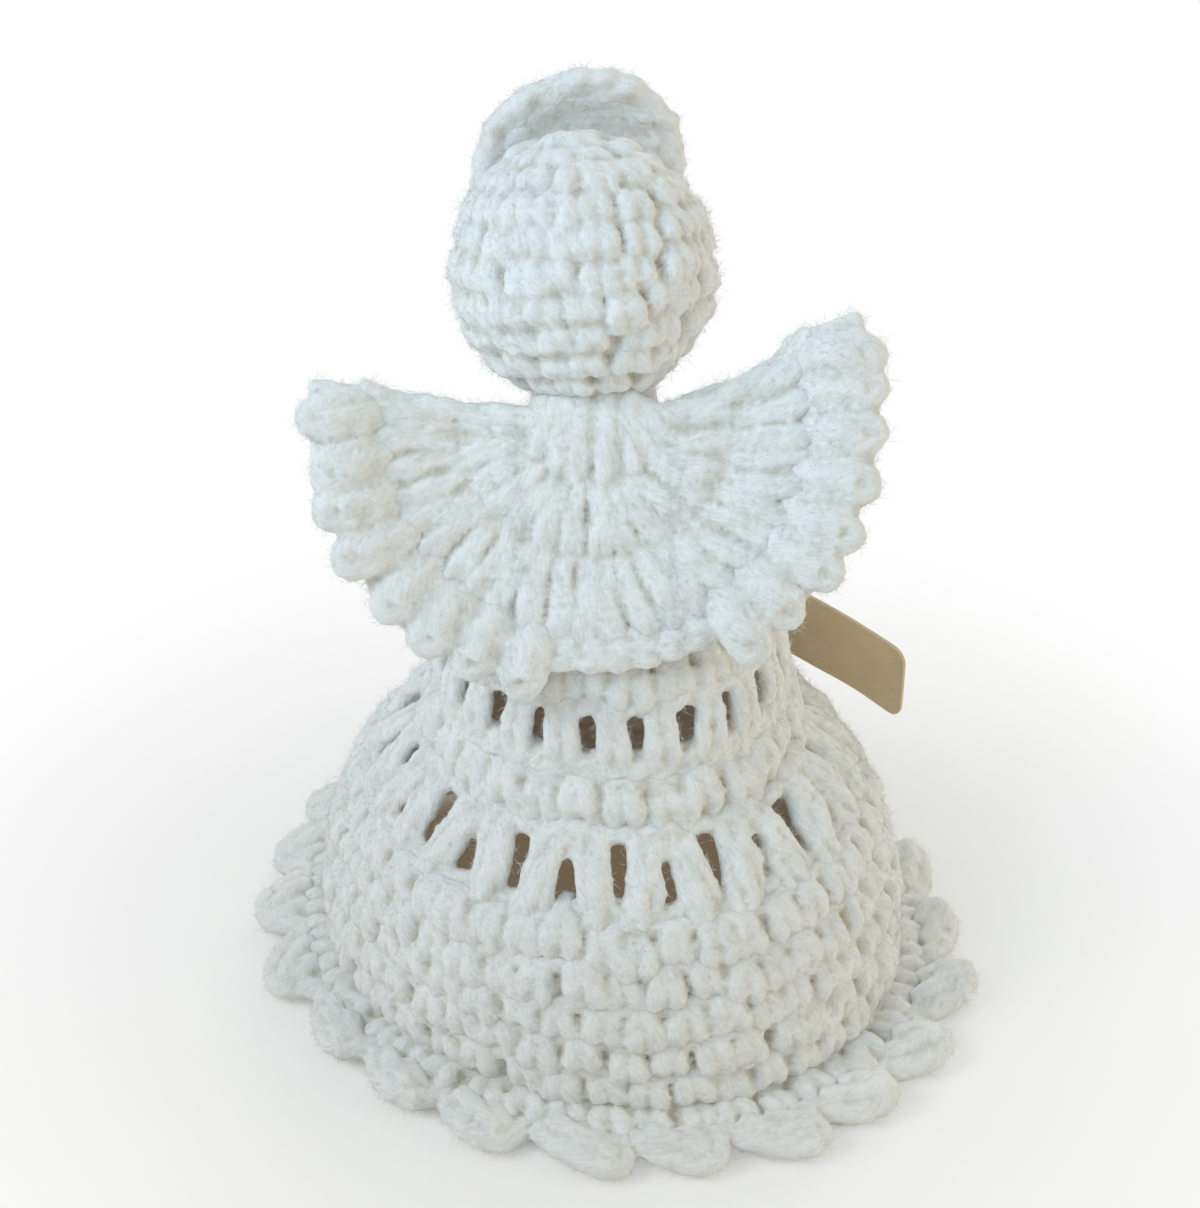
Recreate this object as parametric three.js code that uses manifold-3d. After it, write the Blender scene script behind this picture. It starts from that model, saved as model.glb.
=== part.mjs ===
// White crochet angel: a hollow bell skirt with two openwork rounds and a picot hem, a bodice,
// a stuffed head with a halo, a fan of wings over the bodice and a small card tag.
// Millimetres, +Z up, origin on the table under the middle of the hem, the fan towards -Y.
import * as THREE from 'three';
import { mergeVertices } from 'three/addons/utils/BufferGeometryUtils.js';
import Module from 'manifold-3d';

const wasm = await Module();
wasm.setup();

// Clearance and fabric
const seam = 0.3;
const fabric = 4.4;
const roundBulge = 0.4;

// Hem and picots, flat on the table
const hemThickness = 4.0;
const hemWidth = 4.3;
const picotThickness = 3.4;
const picotCount = 22;
const picotBand = 1.7;
const picotLength = 4.6;
const picotHole = 0.8;

// Skirt, from the hem up
const solidRounds = 5;
const roundHeight = 5.4;
const bellRadius = 42.3;
const bellFullness = 2.4;
const shoulderRadius = 36.3;
const lowerLaceHeight = 10.0;
const vStitches = 14;
const vOpening = 6.6;
const vTip = 1.8;
const vMargin = 1.5;
const yokeRadius = 27.0;
const bandHeight = 5.5;
const bandTopRadius = 25.8;
const upperLaceHeight = 12.0;
const posts = 22;
const postWidth = 3.9;
const postTaper = 0.55;
const postMargin = 2.2;
const waistRadius = 23.8;
const waistHeight = 6.3;
const drapeStretch = 0.06;

// Bodice and neck
const bodiceRadius = 19.6;
const bodiceStep = 0.4;
const bodiceHeight = 23.6;
const bodiceBulge = 0.5;
const collarRadius = 5.6;
const collarBore = 2.6;
const neckRadius = 5.0;
const neckBore = 2.0;
const neckBelow = 1.7;
const neckAbove = 0.8;
const neckLean = 2.3;

// Head and halo
const headRadius = 17.0;
const headWall = 3.2;
const headOpening = 4.2;
const headLeanBack = 16;
const headLeanSide = 5;
const haloRadius = 14.4;
const haloEdge = 2.5;
const haloThickness = 3.0;
const haloCup = 2.0;
const haloLatitude = 24;
const haloLift = 3.8;
const haloGap = 0.9;

// Wing fan
const fanThickness = 3.6;
const fanGap = 0.9;
const fanApexLift = 1.4;
const necklineRadius = 4.2;
const fanRadius = 30.5;
const shellBase = 2.6;
const shellLength = 4.2;
const shellPitch = 7.7;
const shellsStartLeft = 11;
const shellsStartRight = 31;
const fanSpread = 88;
const leftSweep = 7.9;
const rightSweep = 22.4;
const wingHinge = 13.0;
const leftCurl = 8.0;
const rightCurl = 5.0;
const curlSpan = 25.0;

// Card tag
const tagLength = 36.7;
const tagHeight = 11.4;
const tagThickness = 0.6;
const tagCorner = 2.0;
const tagAzimuth = 68;
const tagDrop = 11.7;
const tagHeading = -10;
const tagBend = 26;
const tagDroop = 17.4;

// Facets
const ringSegments = 44;
const headSegments = 32;

const rad = THREE.MathUtils.degToRad;
const lerp = THREE.MathUtils.lerp;

// Heights of the seams between rounds
const solidTop = hemThickness + solidRounds * roundHeight;
const bandBase = solidTop + lowerLaceHeight;
const bandTop = bandBase + bandHeight;
const waistBase = bandTop + upperLaceHeight;
const bodiceBase = waistBase + waistHeight;
const bodiceTop = bodiceBase + bodiceHeight;
const neckHeight = bodiceTop + neckBelow;

const group = new THREE.Group();

function addMesh(parent, name, geometry, look) {
  const mesh = new THREE.Mesh(geometry, new THREE.MeshStandardMaterial(look));
  mesh.name = name;
  parent.add(mesh);
  return mesh;
}

const yarn = { color: 0xeeede8, roughness: 0.95, metalness: 0 };
const shadedYarn = { color: 0xe4e4dc, roughness: 0.95, metalness: 0 };
const fibrefill = { color: 0xf6f4ee, roughness: 1, metalness: 0 };
const card = { color: 0xd8ccb2, roughness: 0.8, metalness: 0 };

// A closed solid for joining and cutting, and its way back to a geometry
function solidOf(geometry) {
  const bare = geometry.clone();
  bare.deleteAttribute('normal');
  bare.deleteAttribute('uv');
  const merged = mergeVertices(bare, 1e-4);
  const vertProperties = new Float32Array(merged.getAttribute('position').array);
  const triVerts = new Uint32Array(merged.getIndex().array);
  return new wasm.Manifold(new wasm.Mesh({ numProp: 3, vertProperties, triVerts }));
}

function geometryOf(solid) {
  const mesh = solid.getMesh();
  const geometry = new THREE.BufferGeometry();
  geometry.setAttribute('position', new THREE.BufferAttribute(new Float32Array(mesh.vertProperties), 3));
  geometry.setIndex(new THREE.BufferAttribute(new Uint32Array(mesh.triVerts), 1));
  geometry.computeVertexNormals();
  return geometry;
}

function moveVertices(geometry, place) {
  const position = geometry.getAttribute('position');
  const point = new THREE.Vector3();
  for (let i = 0; i < position.count; i += 1) {
    point.fromBufferAttribute(position, i);
    place(point);
    position.setXYZ(i, point.x, point.y, point.z);
  }
  geometry.computeVertexNormals();
  return geometry;
}

// A revolved piece that stands along +Z, from a profile listed with its outer side going up
function revolve(profile, segments) {
  const points = profile.map(([radius, height]) => new THREE.Vector2(radius, height));
  return new THREE.LatheGeometry(points, segments).rotateX(Math.PI / 2);
}

// The skirt's outer radius at a height: a bell, a flared lace, a band, a steep lace and the waist
const yokeShape = new THREE.LinearInterpolant(
  [solidTop, bandBase, bandTop, waistBase, bodiceBase],
  [shoulderRadius, yokeRadius, bandTopRadius, waistRadius, bodiceRadius + bodiceStep],
  1,
);

function skirtRadius(height) {
  if (height > solidTop) return yokeShape.evaluate(height)[0];
  const rise = Math.max(0, (height - hemThickness) / (solidTop - hemThickness));
  return lerp(bellRadius, shoulderRadius, rise ** bellFullness);
}

// The soft skirt stands a little out of round, longer from front right to back left
function drapeFactor(height) {
  return drapeStretch * Math.max(0, 1 - height / waistBase);
}

function drape(point) {
  const stretch = drapeFactor(point.z);
  const along = ((point.x - point.y) / 2) * (1 + stretch);
  const across = ((point.x + point.y) / 2) * (1 - stretch);
  point.set(along + across, across - along, point.z);
}

function roundProfile(from, to) {
  const low = from + seam / 2;
  const high = to - seam / 2;
  const middle = (low + high) / 2;
  const outer = [
    [skirtRadius(low), low],
    [skirtRadius(middle) + roundBulge, middle],
    [skirtRadius(high), high],
  ];
  const inner = [high, low].map((height) => [skirtRadius(height) - fabric, height]);
  return [...outer, ...inner, outer[0]];
}

function skirtRound(from, to, segments = ringSegments) {
  return revolve(roundProfile(from, to), segments);
}

// A round with a ring of openings, each an outline of (sideways, up) points cut through the wall
function openworkRound(from, to, openings) {
  let solid = solidOf(skirtRound(from, to, 2 * openings.length));
  const reach = shoulderRadius + fabric;
  for (const { outline, angle } of openings) {
    const shape = new THREE.Shape(outline.map(([side, up]) => new THREE.Vector2(side, up)));
    const cutter = new THREE.ExtrudeGeometry(shape, { depth: reach, bevelEnabled: false, steps: 1 });
    cutter.rotateX(Math.PI / 2).rotateZ(angle);
    solid = solid.subtract(solidOf(cutter));
  }
  return moveVertices(geometryOf(solid), drape);
}

// Hem round and picot edging
const hemRadius = bellRadius + hemWidth;
const wallFoot = bellRadius - fabric;
const hemProfile = [
  [wallFoot, 0],
  [hemRadius, 0],
  [hemRadius, hemThickness - seam / 2 - roundBulge],
  [bellRadius, hemThickness - seam / 2],
  [wallFoot, hemThickness - seam / 2],
  [wallFoot, 0],
];
addMesh(group, 'hem_round', moveVertices(revolve(hemProfile, ringSegments), drape), yarn);

function picotEdging() {
  const steps = picotCount * 6;
  const inner = hemRadius + seam;
  const base = inner + picotBand;
  const outline = [];
  for (let i = 0; i < steps; i += 1) {
    const turn = (i / steps) * 2 * Math.PI;
    const lobe = (0.5 + 0.5 * Math.cos(turn * picotCount)) ** 0.8;
    const radius = base + picotLength * lobe;
    outline.push(new THREE.Vector2(radius * Math.cos(turn), radius * Math.sin(turn)));
  }
  const shape = new THREE.Shape(outline);
  shape.holes.push(new THREE.Path().absarc(0, 0, inner, 0, 2 * Math.PI, true));
  for (let i = 0; i < picotCount; i += 1) {
    const turn = (i / picotCount) * 2 * Math.PI;
    const eye = base + picotHole;
    const path = new THREE.Path();
    path.absarc(eye * Math.cos(turn), eye * Math.sin(turn), picotHole, 0, 2 * Math.PI, true);
    shape.holes.push(new THREE.Path(path.getSpacedPoints(6)));
  }
  const options = { depth: picotThickness, bevelEnabled: false, steps: 1, curveSegments: ringSegments };
  return moveVertices(new THREE.ExtrudeGeometry(shape, options), drape);
}
addMesh(group, 'picot_edging', picotEdging(), yarn);

// Solid rounds of the bell, numbered from the hem up
for (let i = 0; i < solidRounds; i += 1) {
  const from = hemThickness + i * roundHeight;
  const geometry = moveVertices(skirtRound(from, from + roundHeight), drape);
  addMesh(group, `skirt_round_${i + 1}`, geometry, i % 2 ? yarn : shadedYarn);
}

// Lower openwork: V-stitches leave triangles that point up and down in turn
function vStitchOpenings() {
  const foot = solidTop + vMargin;
  const head = bandBase - vMargin;
  const half = vOpening / 2;
  const tip = vTip / 2;
  const openings = [];
  for (let i = 0; i < 2 * vStitches; i += 1) {
    const low = i % 2 ? tip : half;
    const high = i % 2 ? half : tip;
    openings.push({
      outline: [[-low, foot], [low, foot], [high, head], [-high, head]],
      angle: (i / (2 * vStitches)) * 2 * Math.PI,
    });
  }
  return openings;
}
addMesh(group, 'lower_openwork', openworkRound(solidTop, bandBase, vStitchOpenings()), yarn);

addMesh(group, 'middle_round', moveVertices(skirtRound(bandBase, bandTop), drape), shadedYarn);

// Upper openwork: tall stitches leave upright openings, a little narrower at the top
function postOpenings() {
  const foot = bandTop + postMargin;
  const head = waistBase - postMargin;
  const low = (Math.PI * bandTopRadius) / posts - postWidth / 2;
  const high = postTaper * low;
  const openings = [];
  for (let i = 0; i < posts; i += 1) {
    openings.push({
      outline: [[-low, foot], [low, foot], [high, head], [-high, head]],
      angle: (i / posts) * 2 * Math.PI,
    });
  }
  return openings;
}
addMesh(group, 'upper_openwork', openworkRound(bandTop, waistBase, postOpenings()), yarn);

addMesh(group, 'waist_round', moveVertices(skirtRound(waistBase, bodiceBase), drape), shadedYarn);

// Bodice: a hollow cone that leans with the neck, cupped at the top for the neck round
const cupRadius = neckRadius + seam;

function bodiceShell() {
  const low = bodiceBase + seam / 2;
  const middle = (low + bodiceTop) / 2;
  const profile = [
    [bodiceRadius, low],
    [(bodiceRadius + collarRadius) / 2 + bodiceBulge, middle],
    [collarRadius, bodiceTop],
  ];
  const rimAngle = Math.asin(neckBelow / cupRadius);
  const boreAngle = Math.acos(collarBore / cupRadius);
  for (let i = 0; i <= 4; i += 1) {
    const angle = lerp(rimAngle, boreAngle, i / 4);
    profile.push([cupRadius * Math.cos(angle), neckHeight - cupRadius * Math.sin(angle)]);
  }
  profile.push([bodiceRadius - fabric, low], profile[0]);
  return moveVertices(revolve(profile, ringSegments), (point) => {
    point.x -= (neckLean * (point.z - bodiceBase)) / bodiceHeight;
  });
}
addMesh(group, 'bodice_shell', bodiceShell(), yarn);

// Neck round: a zone of a ball, so that the neck can bend in the bodice's cup
const neck = new THREE.Group();
neck.position.set(-neckLean, 0, neckHeight);
neck.rotation.set(-rad(headLeanBack), -rad(headLeanSide), 0);
group.add(neck);

function neckRound() {
  const profile = [[neckBore, -neckBelow]];
  for (let i = 0; i <= 4; i += 1) {
    const height = lerp(-neckBelow, neckAbove, i / 4);
    profile.push([Math.sqrt(neckRadius ** 2 - height ** 2), height]);
  }
  profile.push([neckBore, neckAbove], profile[0]);
  return revolve(profile, headSegments);
}
addMesh(neck, 'neck_round', neckRound(), shadedYarn);

// Head: a ball open at the neck, around a ball of fibrefill
const head = new THREE.Group();
const openingDepth = Math.sqrt(headRadius ** 2 - headOpening ** 2);
head.position.z = neckAbove + seam + openingDepth;
neck.add(head);

function headShell() {
  const rings = 12;
  const innerRadius = headRadius - headWall;
  const innerOpening = headOpening * (innerRadius / headRadius);
  const profile = [];
  const from = Math.asin(headOpening / headRadius);
  for (let i = 0; i <= rings; i += 1) {
    const angle = lerp(from, Math.PI, i / rings);
    const radius = i === rings ? 0 : headRadius * Math.sin(angle);
    profile.push([radius, -headRadius * Math.cos(angle)]);
  }
  const innerFrom = Math.asin(innerOpening / innerRadius);
  const innerRings = 9;
  for (let i = innerRings; i >= 0; i -= 1) {
    const angle = lerp(innerFrom, Math.PI, i / innerRings);
    const radius = i === innerRings ? 0 : innerRadius * Math.sin(angle);
    profile.push([radius, -innerRadius * Math.cos(angle)]);
  }
  const opening = profile.shift();
  return revolve([...profile.slice(rings), opening, ...profile.slice(0, rings)], headSegments);
}
addMesh(head, 'head_shell', headShell(), yarn);

const fillRadius = headRadius - headWall - 2 * seam;
addMesh(head, 'head_stuffing', new THREE.SphereGeometry(fillRadius, 24, 14), fibrefill);

// Halo: a shallow crocheted dish with an edging round, sewn to the far side of the crown
const halo = new THREE.Group();
const latitude = rad(haloLatitude);
const stand = headRadius + haloGap;
halo.position.set(0, stand * Math.cos(latitude), stand * Math.sin(latitude));
halo.rotation.x = latitude;
head.add(halo);

function dish(radius) {
  return -haloCup * (radius / haloRadius) ** 2;
}

function haloPiece(fromRadius, toRadius) {
  const steps = 3;
  const front = [];
  for (let i = 0; i <= steps; i += 1) {
    const radius = lerp(fromRadius, toRadius, i / steps);
    front.push([radius, dish(radius)]);
  }
  const back = front.map(([radius, depth]) => [radius, depth + haloThickness]).reverse();
  const profile = [...front, ...back];
  if (fromRadius > 0) profile.push(front[0]);
  const points = profile.map(([radius, depth]) => new THREE.Vector2(radius, depth));
  return new THREE.LatheGeometry(points, headSegments).translate(0, 0, haloLift);
}
const haloDiscRadius = haloRadius - haloEdge;
addMesh(halo, 'halo_disc', haloPiece(0, haloDiscRadius - seam), shadedYarn);
addMesh(halo, 'halo_edging', haloPiece(haloDiscRadius, haloRadius), yarn);

// Wing fan: rows worked outwards from the neck, in a plane along the front of the bodice.
// Inside this group +X runs along the wings, +Y up the fan and +Z out of the bodice.
const fanTilt = Math.atan2(bodiceRadius - collarRadius, bodiceHeight);
const apexHeight = neckHeight + fanApexLift;
const coneAtApex = collarRadius - (apexHeight - bodiceTop) * Math.tan(fanTilt);
const fan = new THREE.Group();
fan.position.set(-neckLean, -coneAtApex - (fanThickness / 2 + fanGap) / Math.cos(fanTilt), apexHeight);
fan.rotation.x = Math.PI / 2 - fanTilt;
group.add(fan);

// The outline's radius: rounded shells on both wings and a plain ridge under the middle
const shellRadius = fanRadius + seam;
function edgeRadius(angle) {
  const inShells = angle < -shellsStartLeft || angle > shellsStartRight;
  const start = angle < 0 ? shellsStartLeft : shellsStartRight;
  const phase = ((Math.abs(angle) - start) / shellPitch) * Math.PI;
  const lobe = inShells ? Math.sqrt(Math.abs(Math.sin(phase))) : 0;
  return shellRadius + shellBase + shellLength * lobe;
}

function fanSector(fromRadius, toRadius, arcSteps, rowSteps) {
  const slab = new THREE.BoxGeometry(1, 1, fanThickness, arcSteps, rowSteps, 1);
  return moveVertices(slab, (point) => {
    const share = point.x + 0.5;
    const inward = point.y + 0.5;
    const reach = lerp(toRadius(0), fromRadius, inward) - necklineRadius;
    const sweep = reach / (fanRadius - necklineRadius);
    const left = -(fanSpread + leftSweep * sweep);
    const right = fanSpread + rightSweep * sweep;
    const angle = lerp(left, right, share);
    const radius = lerp(toRadius(angle), fromRadius, inward);
    point.set(radius * Math.sin(rad(angle)), -radius * Math.cos(rad(angle)), point.z);
  });
}

// The fan is parted along two upright lines. A wing's inner edge is round about its own line,
// and the panel between the wings stops short of it, so that a wing can bend there.
const fanReach = 2 * (shellRadius + shellBase + shellLength);
const roundEdge = fanThickness / 2;

function wingCutter(side) {
  const shape = new THREE.Shape();
  shape.moveTo(wingHinge, -fanThickness);
  shape.lineTo(fanReach, -fanThickness);
  shape.lineTo(fanReach, fanThickness);
  shape.lineTo(wingHinge, fanThickness);
  shape.lineTo(wingHinge, roundEdge);
  shape.absarc(wingHinge, 0, roundEdge, Math.PI / 2, (3 * Math.PI) / 2, false);
  const options = { depth: 2 * fanReach, bevelEnabled: false, steps: 1, curveSegments: 8 };
  const cutter = new THREE.ExtrudeGeometry(shape, options);
  cutter.translate(0, 0, -fanReach).rotateX(-Math.PI / 2);
  if (side < 0) cutter.rotateZ(Math.PI);
  return solidOf(cutter);
}

function panelCutter() {
  const width = 2 * (wingHinge - roundEdge - seam);
  return solidOf(new THREE.BoxGeometry(width, 2 * fanReach, 2 * fanThickness));
}

function curl(point) {
  const strength = point.x < 0 ? leftCurl : rightCurl;
  const past = Math.max(0, Math.abs(point.x) - wingHinge) / curlSpan;
  point.z += strength * past ** 2;
}

function fanPiece(sector, cutter) {
  return moveVertices(geometryOf(sector.intersect(cutter)), curl);
}

const rows = solidOf(fanSector(necklineRadius, () => fanRadius, 36, 6));
const shells = solidOf(fanSector(shellRadius, edgeRadius, 156, 1));
addMesh(fan, 'wing_panel', fanPiece(rows, panelCutter()), yarn);
addMesh(fan, 'wing_panel_edging', fanPiece(shells, panelCutter()), shadedYarn);
for (const [name, side] of [['left', -1], ['right', 1]]) {
  addMesh(fan, `${name}_wing`, fanPiece(rows, wingCutter(side)), yarn);
  addMesh(fan, `${name}_wing_edging`, fanPiece(shells, wingCutter(side)), shadedYarn);
}

// Card tag: its inner end is held at the band on the far right, and it bends around the skirt
function tagCard() {
  const azimuth = rad(tagAzimuth);
  const middleHeight = waistBase - tagDrop;
  const seatHeight = middleHeight - tagHeight / 2;
  const seat = skirtRadius(seatHeight) + roundBulge + seam + tagThickness / 2;
  const slab = new THREE.BoxGeometry(1, 1, tagThickness, 20, 1, 1);
  return moveVertices(slab, (point) => {
    const share = 0.5 - 0.5 * Math.cos((point.x + 0.5) * Math.PI);
    const run = share * tagLength;
    const toEnd = Math.min(run, tagLength - run, tagCorner);
    const cornerCut = tagCorner - Math.sqrt(tagCorner ** 2 - (tagCorner - toEnd) ** 2);
    const up = point.y * (tagHeight - 2 * cornerCut);
    const start = rad(tagHeading);
    const turn = -rad(tagBend) * share;
    const radius = tagLength / rad(tagBend);
    const flat = Math.cos(rad(tagDroop));
    const x = seat * Math.cos(azimuth) + flat * radius * (Math.sin(start) - Math.sin(start + turn));
    const y = seat * Math.sin(azimuth) - flat * radius * (Math.cos(start) - Math.cos(start + turn));
    const outX = Math.sin(start + turn);
    const outY = -Math.cos(start + turn);
    const height = middleHeight - run * Math.sin(rad(tagDroop)) + up;
    point.set(x + outX * point.z, y + outY * point.z, height);
  });
}
addMesh(group, 'tag_card', tagCard(), card);

export default group;
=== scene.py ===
# White crochet angel: the yarn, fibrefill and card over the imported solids.
# Lengths are in millimetres until a point goes into a mesh, angles in degrees.
import bmesh
import bpy
import math
import numpy as np
from mathutils import Euler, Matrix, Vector
from mathutils.kdtree import KDTree


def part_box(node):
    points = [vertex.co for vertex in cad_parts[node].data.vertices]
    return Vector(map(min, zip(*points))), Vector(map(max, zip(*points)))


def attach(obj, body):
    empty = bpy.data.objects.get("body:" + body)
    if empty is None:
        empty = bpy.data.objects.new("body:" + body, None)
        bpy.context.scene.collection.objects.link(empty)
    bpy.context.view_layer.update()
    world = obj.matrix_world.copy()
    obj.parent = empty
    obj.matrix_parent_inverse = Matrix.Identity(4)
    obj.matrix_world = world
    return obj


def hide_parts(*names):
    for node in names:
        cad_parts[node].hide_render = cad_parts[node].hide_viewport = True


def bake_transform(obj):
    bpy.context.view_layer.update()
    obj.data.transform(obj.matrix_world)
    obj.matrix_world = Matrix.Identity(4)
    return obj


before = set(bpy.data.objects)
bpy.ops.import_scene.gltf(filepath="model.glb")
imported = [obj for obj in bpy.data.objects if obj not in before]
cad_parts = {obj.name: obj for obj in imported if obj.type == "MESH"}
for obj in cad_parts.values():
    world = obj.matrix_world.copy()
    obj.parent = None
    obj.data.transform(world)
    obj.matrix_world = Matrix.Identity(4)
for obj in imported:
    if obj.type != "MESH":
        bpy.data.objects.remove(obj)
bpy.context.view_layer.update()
mm = 0.001
scene = bpy.context.scene
rng = np.random.default_rng(7)


# Shader maths: a socket that adds its own nodes
class Thread:
    def __init__(self, tree, link=None):
        self.tree = tree
        self.link = link

    def node(self, kind, settings=None, sockets=None, out=0):
        made = self.tree.nodes.new(kind)
        for key, value in (settings or {}).items():
            if key == "stops":
                stops = made.color_ramp.elements
                for number, (place, colour) in enumerate(value):
                    stop = stops[number] if number < len(stops) else stops.new(place)
                    stop.position = place
                    stop.color = colour
            else:
                setattr(made, key, value)
        for key, value in (sockets or {}).items():
            if isinstance(value, Thread):
                self.tree.links.new(value.link, made.inputs[key])
            else:
                made.inputs[key].default_value = value
        return Thread(self.tree, made.outputs[out])

    def maths(self, operation, first, second):
        return self.node("ShaderNodeMath", {"operation": operation}, {0: first, 1: second})

    def __add__(self, other):
        return self.maths("ADD", self, other)

    def __radd__(self, other):
        return self.maths("ADD", other, self)

    def __sub__(self, other):
        return self.maths("SUBTRACT", self, other)

    def __rsub__(self, other):
        return self.maths("SUBTRACT", other, self)

    def __mul__(self, other):
        return self.maths("MULTIPLY", self, other)

    def __rmul__(self, other):
        return self.maths("MULTIPLY", other, self)


def objectPlace(start):
    return start.node("ShaderNodeTexCoord", out=3)


def noise(place, scale, detail, roughness=0.5):
    return place.node("ShaderNodeTexNoise", sockets={"Vector": place, "Scale": scale, "Detail": detail,
                                                     "Roughness": roughness})


def ramp(value, *stops):
    return value.node("ShaderNodeValToRGB", {"stops": stops}, {0: value})


def span(value, low, high):
    return value.node("ShaderNodeMapRange", sockets={"Value": value, "From Min": low, "From Max": high})


def relief(height, strength, depth):
    sockets = {"Strength": strength, "Distance": depth, "Height": height}
    return height.node("ShaderNodeBump", sockets=sockets)


def wire(node, links):
    for socket, thread in links.items():
        thread.tree.links.new(thread.link, node.inputs[socket])


def newMaterial(name, constants):
    material = bpy.data.materials.new(name)
    material.use_nodes = True
    tree = material.node_tree
    shader = tree.nodes["Principled BSDF"]
    for socket, value in constants.items():
        shader.inputs[socket].default_value = value
    return material, Thread(tree), shader


# Soft brushed yarn: faint fibres along the strand, a fleecy nap, light that soaks in a little, and painted
# shade, darker and warmer, deep in its hollows
yarnLook = dict(pale=(0.93, 0.93, 0.91, 1), shade=(0.76, 0.755, 0.72, 1),
                hollow=(0.72, 0.66, 0.56, 1), hollowFrom=-0.05, hollowTo=0.5,
                fibre=(2.8, 2.8, 0.2), nap=1700.0, drift=260.0, bump=0.5, depth=0.0006,
                roughness=0.9, soak=0.35, soakTint=(1.0, 0.97, 0.9), soakDepth=0.0006,
                sheen=0.2, sheenRoughness=0.5, shine=0.1)


def yarnMaterial(name, look):
    material, start, shader = newMaterial(name, {
        "Sheen Weight": look["sheen"], "Sheen Roughness": look["sheenRoughness"],
        "Specular IOR Level": look["shine"], "Subsurface Weight": look["soak"],
        "Subsurface Radius": look["soakTint"], "Subsurface Scale": look["soakDepth"]})
    spot = start.node("ShaderNodeAttribute", {"attribute_name": "strandSpace"}, out=1)
    along = start.node("ShaderNodeVectorMath", {"operation": "MULTIPLY"}, {0: spot, 1: look["fibre"]})
    fibres = noise(along, 1.0, 3.0, 0.6)
    place = objectPlace(start)
    nap = noise(place, look["nap"], 3.0, 0.65)
    drift = noise(place, look["drift"], 3.0)
    tone = ramp(fibres * 0.45 + nap * 0.3 + drift * 0.25, (0.30, look["shade"]), (0.58, look["pale"]))
    # painted shade: where the surface lies deep in a hollow, the yarn's colour is multiplied towards a dark
    # warm tone
    paintedShadeDepth = start.node("ShaderNodeAttribute", {"attribute_name": "paintedShadeDepth"}, out=2)
    paintedShadeDepth = span(paintedShadeDepth, look["hollowFrom"], look["hollowTo"])
    tone = start.node("ShaderNodeMix", {"data_type": "RGBA", "blend_type": "MULTIPLY"},
                      {0: paintedShadeDepth, 6: tone, 7: look["hollow"]}, out=2)
    wire(shader, {"Base Color": tone, "Roughness": look["roughness"] + nap * 0.08,
                  "Normal": relief(fibres * 0.6 + nap * 0.4, look["bump"], look["depth"])})
    return material


# Loose fibre ends, and the polyester filling
looseLook = dict(pale=(0.90, 0.905, 0.90, 1), shade=(0.82, 0.83, 0.82, 1), scale=200.0)
fillLook = dict(pale=(0.90, 0.89, 0.86, 1), shade=(0.72, 0.70, 0.66, 1), scale=420.0)


def fluffMaterial(name, look):
    material, start, shader = newMaterial(name, {"Sheen Weight": 0.3, "Specular IOR Level": 0.2})
    drift = noise(objectPlace(start), look["scale"], 4.0)
    wire(shader, {"Base Color": ramp(drift, (0.35, look["shade"]), (0.65, look["pale"])),
                  "Roughness": 0.85 + drift * 0.1, "Normal": relief(drift, 0.4, 0.0008)})
    return material


# Cream card with pressed fibres, a little darker in blotches
cardLook = dict(pale=(0.76, 0.61, 0.41, 1), shade=(0.60, 0.47, 0.30, 1), blotch=90.0,
                pulp=(300.0, 300.0, 1400.0))


def cardMaterial(name, look):
    material, start, shader = newMaterial(name, {"Specular IOR Level": 0.3})
    place = objectPlace(start)
    blotch = noise(place, look["blotch"], 4.0)
    stretched = start.node("ShaderNodeMapping", sockets={"Vector": place, "Scale": look["pulp"]})
    pulp = noise(stretched, 2.0, 5.0)
    tone = ramp(blotch * 0.7 + pulp * 0.3, (0.3, look["shade"]), (0.7, look["pale"]))
    wire(shader, {"Base Color": tone, "Roughness": 0.72 + pulp * 0.15,
                  "Normal": relief(pulp, 0.25, 0.0002)})
    return material


whiteYarn = yarnMaterial("whiteYarn", yarnLook)
looseFibre = fluffMaterial("looseFibre", looseLook)
fillFibre = fluffMaterial("fillFibre", fillLook)
creamCard = cardMaterial("creamCard", cardLook)
print("materials ready")


def cover(piece, material):
    piece.data.materials.clear()
    piece.data.materials.append(material)


def startFrom(name, operator, **settings):
    bpy.ops.object.select_all(action="DESELECT")
    operator(**settings)
    piece = bpy.context.view_layer.objects.active
    piece.name = name
    return piece


def meshArray(source, field, width, kind=float):
    values = np.empty(len(source) * width, kind)
    source.foreach_get(field, values)
    return values.reshape(-1, width) if width > 1 else values


# Strands: each is a list of points with a radius, made into a round tube
def strand(points, radius, closed=False):
    points = np.asarray(points, float)
    radius = np.broadcast_to(np.asarray(radius, float), (len(points),))
    return dict(points=points, radius=radius, closed=closed)


def tubePiece(name, strands):
    bpy.ops.object.select_all(action="DESELECT")
    curve = bpy.data.curves.new(name, "CURVE")
    curve.dimensions = "3D"
    curve.bevel_depth = mm
    curve.bevel_resolution = 2
    curve.use_fill_caps = True
    for one in strands:
        points = one["points"]
        spline = curve.splines.new("POLY")
        spline.points.add(len(points) - 1)
        spline.points.foreach_set("co", np.c_[points * mm, np.ones(len(points))].ravel())
        spline.points.foreach_set("radius", one["radius"].astype(float))
        spline.use_cyclic_u = one["closed"]
    piece = bpy.data.objects.new(name, curve)
    scene.collection.objects.link(piece)
    bpy.context.view_layer.objects.active = piece
    piece.select_set(True)
    bpy.ops.object.convert(target="MESH")
    return bpy.context.view_layer.objects.active


# Brushed yarn: the strands are merged, softened and puffed, and keep their fibre direction
felt = dict(voxel=0.5, softening=5, crumb=3.0, easing=14, twist=0.35, puff=0.09, puffLength=3.4,
            fleece=0.06, fleeceLength=1.2, settle=1, spacing=0.45, apart=37.3, floor=0.05)


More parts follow.
